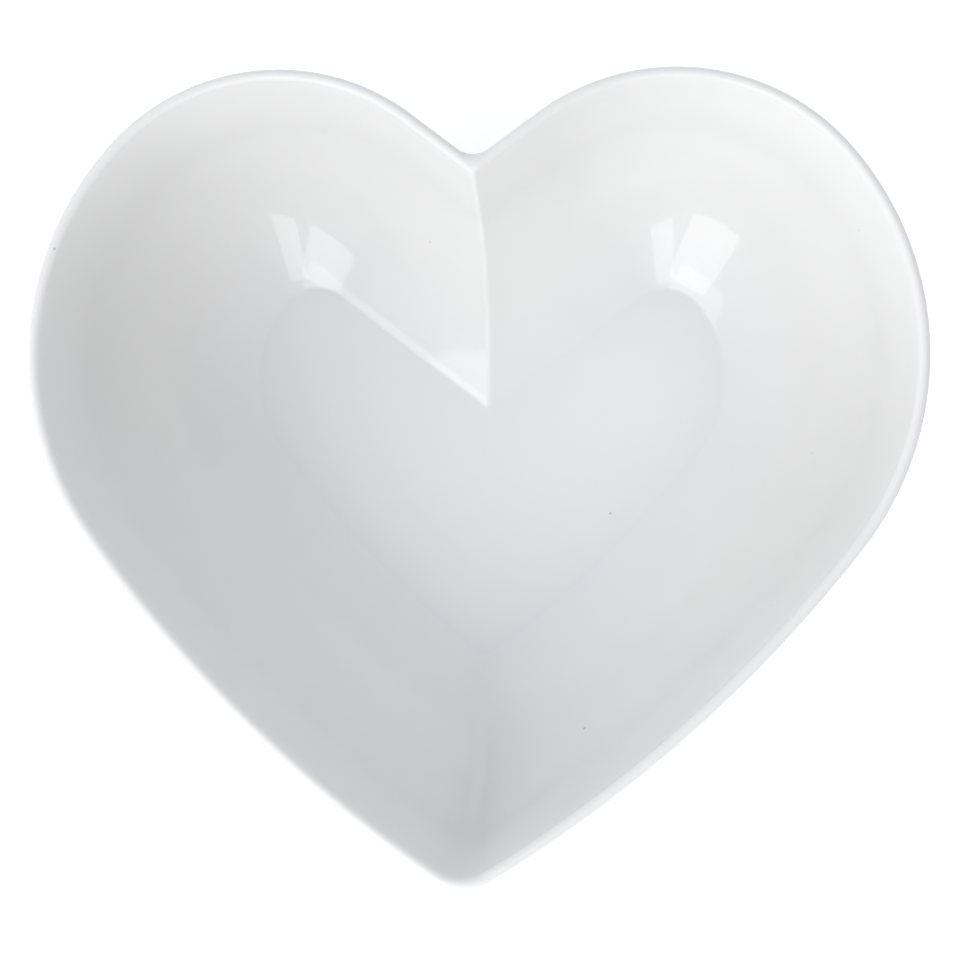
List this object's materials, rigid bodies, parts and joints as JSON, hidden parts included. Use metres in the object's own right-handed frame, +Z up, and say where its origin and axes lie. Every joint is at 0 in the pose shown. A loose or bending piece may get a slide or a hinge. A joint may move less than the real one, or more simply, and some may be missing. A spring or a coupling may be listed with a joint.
{
  "type": "heart-shaped trinket bowl",
  "caption": "Open heart-shaped trinket bowl of glazed white porcelain, with curved flaring walls, a flat heart-shaped floor, a rounded lip and a low foot ring",
  "frame": {"origin": "middle of the bowl's bounding box, on the plane of the foot ring's resting face", "axes": "+X to the right lobe, +Y to the cleft side with the lobes, -Y to the tip, +Z up out of the bowl; the bowl is symmetric left to right about the plane x = 0"},
  "size_m": [0.16, 0.145, 0.054],
  "materials": {
    "porcelain": "clear gloss glaze on white porcelain, with the foot ring's resting face left unglazed"
  },
  "bodies": {
    "root": {"bowl": "porcelain"}
  },
  "joints": []
}
